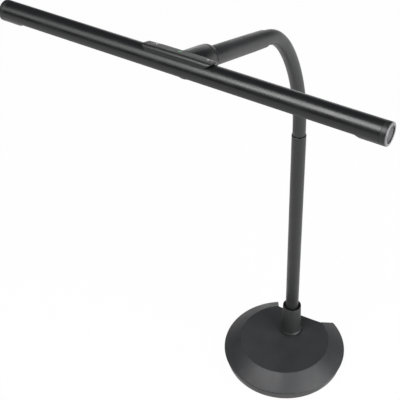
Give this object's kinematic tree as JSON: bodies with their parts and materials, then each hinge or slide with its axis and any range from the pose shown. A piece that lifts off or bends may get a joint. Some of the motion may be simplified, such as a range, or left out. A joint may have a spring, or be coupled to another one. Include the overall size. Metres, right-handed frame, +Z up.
{
  "type": "piano lamp",
  "caption": "Black piano lamp with a weighted round base, turning post, bending gooseneck, straight arm and a long light bar with touch controls.",
  "frame": {"origin": "centre of the round base, on the surface that the lamp stands on", "axes": "+Z up; +X along the light bar; -Y to the side that the bar reaches out to. The notched back of the base faces +Y, turned by 3 degrees about the post, as in the picture"},
  "size_m": [0.45, 0.3392, 0.7016],
  "materials": {
    "cast_black": "satin black powder coat",
    "iron": "rough black",
    "sheet": "matt black",
    "pad": "matt",
    "screw": "zinc plated",
    "plastic_black": "fine matt",
    "lead": "matt",
    "acetal": "natural",
    "post_black": "satin black powder coat",
    "alu_black": "satin black powder coat",
    "jacket": "matt black jacket",
    "alu": "plain",
    "board": "white solder mask",
    "board_green": "green solder mask",
    "led": "yellow phosphor",
    "opal": "opal, frosted",
    "cover": "smooth black",
    "spring": "plain",
    "lens": "clear green"
  },
  "bodies": {
    "base": {"base_shell": "cast_black", "ballast_plate": "iron", "bottom_plate": "sheet", "foot_pad": "pad", "base_screws": "screw", "dc_inlet": "plastic_black", "base_lead": "lead", "post_collar": "alu_black", "collar_nut": "screw", "swivel_bush": "plastic_black", "thrust_washer": "acetal", "stop_pins": "screw"},
    "post": {"post_tube": "post_black", "post_foot": "screw", "friction_washer": "screw", "post_lead": "lead", "neck_bush": "alu_black"},
    "link_1": {"neck_link_1": "jacket"},
    "link_2": {"neck_link_2": "jacket"},
    "link_3": {"neck_link_3": "jacket"},
    "link_4": {"neck_link_4": "jacket"},
    "link_5": {"neck_link_5": "jacket"},
    "link_6": {"neck_link_6": "jacket"},
    "link_7": {"neck_link_7": "jacket"},
    "arm": {"arm_core": "alu", "arm_sleeve": "alu_black", "swivel_washer": "acetal", "swivel_spring": "screw", "swivel_nut": "screw"},
    "head": {"head_barrel": "alu_black", "swivel_ring": "alu_black", "light_tube": "alu_black", "tube_screws": "screw", "led_carrier": "alu", "led_board": "board", "leds": "led", "diffuser": "opal", "end_cap_left": "plastic_black", "end_cap_right": "plastic_black", "cap_discs": "plastic_black", "cap_screws": "screw", "panel_cover": "cover", "control_board": "board_green", "touch_springs": "spring", "power_lens": "lens"}
  },
  "joints": [
    {"name": "post_swivel", "type": "hinge", "parent": "base", "child": "post", "pos_m": [-0.00131, 0.02497, 0.1], "axis": [0, 0, 1], "range_deg": [-90, 90]},
    {"name": "neck_tilt_1", "type": "hinge", "parent": "post", "child": "link_1", "pos_m": [-0.00131, 0.02497, 0.436], "axis": [1, 0, 0], "range_deg": [-20, 20]},
    {"name": "neck_lean_1", "type": "hinge", "parent": "link_1", "child": "link_2", "pos_m": [-0.00131, 0.02332, 0.46744], "axis": [0, 0.9945, 0.1045], "range_deg": [-20, 20]},
    {"name": "neck_tilt_2", "type": "hinge", "parent": "link_2", "child": "link_3", "pos_m": [-0.00131, 0.01785, 0.49844], "axis": [1, 0, 0], "range_deg": [-20, 20]},
    {"name": "neck_lean_2", "type": "hinge", "parent": "link_3", "child": "link_4", "pos_m": [-0.00131, 0.00865, 0.52855], "axis": [0, 0.9397, 0.342], "range_deg": [-20, 20]},
    {"name": "neck_tilt_3", "type": "hinge", "parent": "link_4", "child": "link_5", "pos_m": [-0.00131, -0.00365, 0.55753], "axis": [1, 0, 0], "range_deg": [-20, 20]},
    {"name": "neck_lean_3", "type": "hinge", "parent": "link_5", "child": "link_6", "pos_m": [-0.00131, -0.01939, 0.58479], "axis": [0, 0.829, 0.5592], "range_deg": [-20, 20]},
    {"name": "neck_tilt_4", "type": "hinge", "parent": "link_6", "child": "link_7", "pos_m": [-0.00131, -0.03981, 0.60869], "axis": [1, 0, 0], "range_deg": [-20, 20]},
    {"name": "neck_lean_4", "type": "hinge", "parent": "link_7", "child": "arm", "pos_m": [-0.00131, -0.06667, 0.62467], "axis": [0, 0.3173, 0.9483], "range_deg": [-20, 20]},
    {"name": "head_swivel", "type": "hinge", "parent": "arm", "child": "head", "pos_m": [-0.00131, -0.20133, 0.66973], "axis": [0, -0.9483, 0.3173], "range_deg": [-60, 60]}
  ]
}
